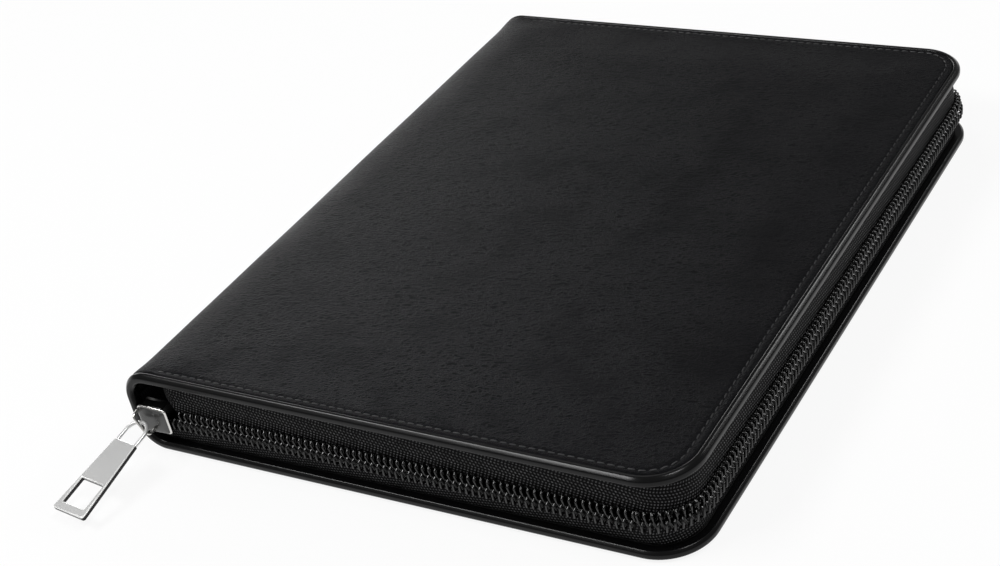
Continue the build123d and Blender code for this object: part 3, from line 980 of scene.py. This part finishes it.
BAIL_TILT = radians(62.0)
BAIL_X = -87.8
BAIL_FOOT = 0.75
BAIL_WIRE = 0.45
bail_path = rounded([(-3.9, -0.3), (-3.9, 3.2), (3.9, 3.2), (3.9, -0.3)], [0, 1.5, 1.5, 0], 8)
bail_matrix = axes((BAIL_X, OUTER_FACE, ZIP_Z), (cos(BAIL_TILT), 0, -sin(BAIL_TILT)),
                   (-sin(BAIL_TILT), 0, -cos(BAIL_TILT)))
bail_points = [bail_matrix @ Vector((x, y, 0)) for x, y in bail_path]
verts, faces = tube(bail_points, [BAIL_FOOT] + [BAIL_WIRE] * (len(bail_points) - 2) + [BAIL_FOOT], 12)
slider_arch = make("slider_arch", verts, faces, [nickel], "slider")
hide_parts("slider_bail")

PULL_YAW = radians(-7.5)
PULL_DROOP = radians(14.8)
PULL_Y = -124.4
PULL_TOP = 1.9
PULL_NECK = PULL_TOP - 8.6
PULL_TIP = PULL_TOP - 36.0
NECK_HALF = 4.6
TIP_HALF = 6.8
WINDOW_HALF = 4.7
WINDOW_LOW = PULL_TIP + 2.8
WINDOW_HIGH = PULL_TIP + 11.8
LOOP_WIRE = 0.6
LOOP_HALF = NECK_HALF - LOOP_WIRE
LOOP_STEPS = 16
pull_right = (cos(PULL_YAW), sin(PULL_YAW), 0)
pull_normal = (sin(PULL_YAW) * sin(PULL_DROOP), -cos(PULL_YAW) * sin(PULL_DROOP), cos(PULL_DROOP))
pull_matrix = axes((BAIL_X, PULL_Y, ZIP_Z), pull_right, pull_normal)
edge = [(-NECK_HALF, PULL_NECK), (-TIP_HALF, PULL_TIP), (TIP_HALF, PULL_TIP), (NECK_HALF, PULL_NECK)]
window = [(-WINDOW_HALF, WINDOW_LOW), (WINDOW_HALF, WINDOW_LOW)]
window += [(WINDOW_HALF, WINDOW_HIGH), (-WINDOW_HALF, WINDOW_HIGH)]
outlines = [rounded(edge, [0.5, 0.8, 0.8, 0.5], 4), rounded(window, [0.3] * 4, 3)]
# The pull's bevels get the near-white metal as a painted highlight, and its sides get the near-black one as a
# painted dark reflection.
pull_plate = cut_plate("pull_plate", outlines, 1.7, 0.45, pull_matrix, [satin, bevel_highlight_metal, side_dark_reflection_metal], "pull")
loop_path = [(-LOOP_HALF, PULL_NECK - 1.5), (-LOOP_HALF, PULL_NECK + 1.2)]
for part in range(LOOP_STEPS + 1):
    turn = pi - pi * part / LOOP_STEPS
    loop_path.append((LOOP_HALF * cos(turn), PULL_TOP - LOOP_WIRE - LOOP_HALF + LOOP_HALF * sin(turn)))
loop_path += [(LOOP_HALF, PULL_NECK + 1.2), (LOOP_HALF, PULL_NECK - 1.5)]
verts, faces = tube([pull_matrix @ Vector((x, y, 0)) for x, y in loop_path], LOOP_WIRE, 12)
pull_loop = make("pull_loop", verts, faces, [satin], "pull")
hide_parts("pull_tab")

# Inside: sewn panels, pad and pen loop

PANEL_INSETS = (0.0, 0.1, 0.25, 0.45, 0.7, 1.0, 1.4, 1.8, 2.2, 2.6, 3.0, 3.5)
PANEL_STEP = 5
PANEL_ROLL = 0.7
PANEL_DROP = 0.6
SEAM_DEPTH = 0.14
SEAM_WIDTH = 0.5
WAVE_SIZE = 23.0
WAVE_FROM = 6.0


def panel_line(half, count):
    """Places across a panel, closer together at both edges."""
    inner = half - PANEL_INSETS[-1]
    ends = [inset - half for inset in PANEL_INSETS]
    middle = [-inner + 2 * inner * part / count for part in range(1, count)]
    return ends + middle + [-end for end in reversed(ends)]


def panel(name, node_name, material, body, facing, corner,
          base=None, rim=0.0, seam=0.0, wave=0.0, upright=False):
    """Thin sewn panel in the place of a CAD node: rolled edges, sunk seam and slightly uneven face.

    facing is 1 where the panel looks up and -1 where it looks down. base is the height that its
    underside keeps away from the edge, and rim the width of the edge that goes down to the node's
    own underside. An upright panel has its thickness along X and looks to +X.
    """
    low, high = ([value / MM for value in corner_point] for corner_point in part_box(node_name))
    if upright:
        low, high = [low[2], low[1], low[0]], [high[2], high[1], high[0]]
    floor_level, top_level = (low[2], high[2]) if facing > 0 else (-high[2], -low[2])
    wide, long = high[0] - low[0], high[1] - low[1]
    middle_x, middle_y = (low[0] + high[0]) / 2, (low[1] + high[1]) / 2
    thick = top_level - floor_level
    outer, under = [], []
    columns = panel_line(wide / 2, max(2, ceil(wide / PANEL_STEP)))
    for x in columns:
        half = long / 2 - corner_cut(corner - (wide / 2 - abs(x)), corner)
        rows = panel_line(half, ceil(long / PANEL_STEP))
        for y in rows:
            edge = inside_of(wide / 2 - abs(x), long / 2 - abs(y), corner)
            drop = PANEL_DROP * thick * rolled_edge(edge, PANEL_ROLL)
            if seam:
                drop += SEAM_DEPTH * exp(-((edge - seam) / SEAM_WIDTH) ** 2)
            spot = Vector((x / WAVE_SIZE, y / WAVE_SIZE, floor_level))
            drop += wave * (0.5 + 0.5 * noise.noise(spot)) * min(1.0, edge / WAVE_FROM)
            bottom = floor_level if base is None or edge < rim else base
            outer.append((x + middle_x, y + middle_y, facing * (top_level - drop)))
            under.append((x + middle_x, y + middle_y, facing * bottom))
    verts = outer + under
    if upright:
        verts = [(z, y, x) for x, y, z in verts]
    faces, _ = shell_faces(len(columns), len(rows))
    made = make(name, verts, faces, [material], body)
    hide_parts(node_name)


def seam_line(name, corners, level, facing, body):
    """Stitches along straight runs between corners."""
    parts = []
    for (x0, y0), (x1, y1) in zip(corners, corners[1:]):
        run = hypot(x1 - x0, y1 - y0)
        count = int(run / STITCH_PITCH)
        ahead_x, ahead_y = (x1 - x0) / run, (y1 - y0) / run
        for number in range(count):
            reach = run * (number + 0.5) / count
            x, y = x0 + ahead_x * reach, y0 + ahead_y * reach
            parts.append(stitch(x, y, ahead_x, ahead_y, facing * level))
    verts, faces = join(parts)
    made = make(name, [(x, y, facing * z) for x, y, z in verts], faces, [thread], body)


SEAM = 2.2
LEFT, RIGHT, NEAR, FAR = -72.5 + SEAM, 82.5 - SEAM, -107.5 + SEAM, 62.5
POCKET_FACE = 24.56
CARD_LEFT = -55
CARD_HALF = 46
CARD_SLOTS = ((25.0, 23.8), (13.0, 23.1), (1.0, 22.4))  # mouth and level
SEAM_LIFT = 0.06
LINING_CORNER = 6.8
SLEEVE_BASE = 4.52
SLEEVE_RIM = 2.0

for side, facing in (("bottom", 1), ("top", -1)):
    panel(side + "_lining_cloth", side + "_lining", lining, side + "_cover", facing,
          LINING_CORNER, wave=0.12)
panel("spine_lining_cloth", "spine_lining", lining, "spine", 1, 1.0,
      upright=True)
panel("document_pocket_panel", "document_pocket", inner_leather, "top_cover", -1, 4.0,
      seam=SEAM, wave=0.1)
seam_line("document_pocket_seam", [(LEFT, FAR - 1.5), (LEFT, NEAR), (RIGHT, NEAR), (RIGHT, FAR - 1.5)],
          POCKET_FACE, -1, "top_cover")
seam_line("document_pocket_hem", [(LEFT + 2, FAR - SEAM), (RIGHT - 2, FAR - SEAM)],
          POCKET_FACE, -1, "top_cover")
for number, (mouth, level) in enumerate(CARD_SLOTS, 1):
    name = "card_slot_panel_%d" % number
    panel(name, "card_slot_%d" % number, inner_leather, "top_cover", -1, 1.5,
          seam=SEAM, wave=0.05)
    right, left, half = mouth - SEAM, CARD_LEFT + SEAM, CARD_HALF - SEAM
    ends = [(right, half), (left, half), (left, -half), (right, -half)]
    shown = ends + ends[:1] if number == len(CARD_SLOTS) else [ends[3], ends[0]]
    seam_line("card_slot_seam_%d" % number, shown, level + SEAM_LIFT, -1, "top_cover")
panel("notepad_sleeve_panel", "notepad_sleeve", inner_leather, "bottom_cover", 1, 3.0,
      base=SLEEVE_BASE, rim=SLEEVE_RIM)

# Head tape: folded over the head of the pad, from a section of (y, z)
HEAD_LEFT = -65.48
HEAD_WIDTH = 147.96
HEAD_STEPS = 30
head_corners = [(83.0, 11.32), (83.0, 11.88), (105.6, 11.88)]
head_corners += [(105.6, 3.72), (105.03, 3.72), (105.03, 11.32)]
head = rounded(head_corners, [0.2, 0.2, 0.8, 0.2, 0.2, 0.25], 4)
stations = []
for part in range(HEAD_STEPS + 1):
    x = HEAD_LEFT + HEAD_WIDTH * part / HEAD_STEPS
    stations.append((Vector((x, 0, 0)), Vector((0, 1, 0)), Vector((0, 0, 1))))
verts, faces = sweep(stations, head)
head_tape = make("notepad_head_cloth", verts, faces, [head_cloth], "bottom_cover")
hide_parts("notepad_head_tape")

# Pen loop: a band round the pen and a tab sewn down towards the fold
PEN_X, PEN_Z = -74.4, 9.3
BAND_RADIUS = 5.3
BAND_HALF = 19.9
BAND_THICK = 0.28
BAND_STEP = 9
TAB_Z = 4.0
TAB_STITCH = 4.34
TAB_SEAM = (-81.2, 18.5)
along_y = Vector((0, 1, 0))
ring = []
for angle in range(-90, 270, BAND_STEP):
    out = Vector((cos(radians(angle)), 0, sin(radians(angle))))
    x, z = PEN_X + BAND_RADIUS * cos(radians(angle)), PEN_Z + BAND_RADIUS * sin(radians(angle))
    ring.append((Vector((x, 0, z)), along_y, out))
strip = rounded([(-BAND_HALF, -BAND_THICK), (BAND_HALF, -BAND_THICK), (BAND_HALF, BAND_THICK),
                 (-BAND_HALF, BAND_THICK)], [0.25] * 4, 3)
verts, faces = sweep(ring, strip, cap=False)
size = len(strip)
start = (len(ring) - 1) * size
for column in range(size):
    beside = (column + 1) % size
    faces.append((start + column, start + beside, beside, column))
tab = [(Vector((x, 0, TAB_Z)), along_y, Vector((0, 0, -1))) for x in (-83.0, -80.0, -77.0, PEN_X - 0.6)]
verts, faces = join([(verts, faces), sweep(tab, strip)])
pen_loop = make("pen_loop_band", verts, faces, [elastic], "bottom_cover")
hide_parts("pen_loop")
seam_line("pen_loop_seam", [(TAB_SEAM[0], -TAB_SEAM[1]), TAB_SEAM], TAB_STITCH, 1, "bottom_cover")

# CAD pieces that stay as they are
# Cover board near-black: painted shade where it shows in the gaps under the bindings.
board = card_material("cover_board", (0.010, 0.010, 0.010), (0.02, 0.02, 0.02))
pad_board = card_material("pad_board", (0.30, 0.25, 0.18), (0.42, 0.35, 0.26))
paper = paper_material()
finishes = {"bottom_board": board, "top_board": board, "spine_stiffener": board,
            "notepad_backing": pad_board, "notepad_paper": paper,
            "lower_end_stop": nickel, "upper_end_stop": nickel}
for name, finish in finishes.items():
    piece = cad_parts[name]
    piece.data.materials.clear()
    piece.data.materials.append(finish)

# Stage, light and camera

FLOOR_HALF = 6
FLOOR_Z = -0.0002
FLOOR_WHITE = 0.88
corners = [(-1, -1), (1, -1), (1, 1), (-1, 1)]
floor_mesh = bpy.data.meshes.new("floor")
floor_points = [(x * FLOOR_HALF, y * FLOOR_HALF, FLOOR_Z) for x, y in corners]
floor_mesh.from_pydata(floor_points, [], [(0, 1, 2, 3)])
floor = placed("floor", floor_mesh)
graph = shader("floor", (0.86, 0.86, 0.86), 0.9, Specular_IOR_Level=0.1)
rays = graph.add("LightPath", {})
seen = graph.maths("MAXIMUM", rays["Is Camera Ray"], rays["Is Glossy Ray"])
seen = graph.maths("MAXIMUM", seen, rays["Is Transmission Ray"])
matt = graph.nodes["Principled BSDF"].outputs["BSDF"]
white = graph.add("Emission", {})["Emission"]
white_share = graph.maths("MULTIPLY", seen, FLOOR_WHITE)
blended = graph.add("MixShader", {"Fac": white_share, 1: matt, 2: white})["Shader"]
graph.put(blended, graph.nodes["Material Output"].inputs["Surface"])
floor_mesh.materials.append(graph.owner)

# Sky: bright at the horizon, darker above it
SKY_ENDS = (0.95, 0.30)
SKY_LEVELS = ((0.03, 0.6), (0.08, 0.38), (0.25, 0.25), (0.5, 0.22))  # height and level
world = bpy.data.worlds.new("studio")
bpy.context.scene.world = world
graph = Graph(world)
sky = graph.nodes.new("ShaderNodeValToRGB")
graph.put(graph.split(graph.add("TexCoord", {})["Generated"])["Z"], sky.inputs["Fac"])
for element, level in zip(sky.color_ramp.elements, SKY_ENDS):
    element.color = (level, level, level, 1)
for position, level in SKY_LEVELS:
    sky.color_ramp.elements.new(position).color = (level, level, level, 1)
graph.put(sky.outputs["Color"], graph.nodes["Background"].inputs["Color"])


def softbox(name, location, width, height, power):
    """Area light aimed at the case."""
    lamp = bpy.data.lights.new(name, "AREA")
    lamp.shape = "RECTANGLE"
    lamp.size = width
    lamp.size_y = height
    lamp.energy = power
    made = placed(name, lamp)
    made.location = location
    made.rotation_euler = (-Vector(location)).to_track_quat("-Z", "Y").to_euler()


softbox("key", (-0.55, -0.5, 0.94), 0.6, 0.17, 7.0)
softbox("over", (0.47, -0.12, 0.98), 0.34, 0.16, 3.8)
softbox("left", (-1.08, 0.67, 0.28), 1.0, 0.24, 3.7)
softbox("back", (-0.42, 0.45, 1.03), 0.4, 0.4, 0.65)
softbox("rim", (0.55, 0.84, 0.66), 0.3, 0.2, 2.5)

# Camera: fitted to the edges of the case in the photograph
AZIMUTH = radians(33.1635)
ELEVATION = radians(33.3432)
ROLL = radians(-10.9051)
DISTANCE = 0.6062
TARGET = Vector((0.00676, -0.00389, 0))
back = Vector((sin(AZIMUTH) * cos(ELEVATION), -cos(AZIMUTH) * cos(ELEVATION), sin(ELEVATION)))
right = Vector((cos(AZIMUTH), sin(AZIMUTH), 0))
up = back.cross(right)
rolled_right = right * cos(ROLL) + up * sin(ROLL)
rolled_up = up * cos(ROLL) - right * sin(ROLL)
lens = bpy.data.cameras.new("camera")
lens.lens = 66.267
lens.sensor_width = 36.0
lens.shift_x = -0.10
lens.clip_start = 0.01
camera = placed("camera", lens)
pose = Matrix((rolled_right, rolled_up, back)).transposed().to_4x4()
camera.matrix_world = Matrix.Translation(TARGET + back * DISTANCE) @ pose
bpy.context.scene.camera = camera
bpy.context.scene.view_settings.view_transform = "Standard"
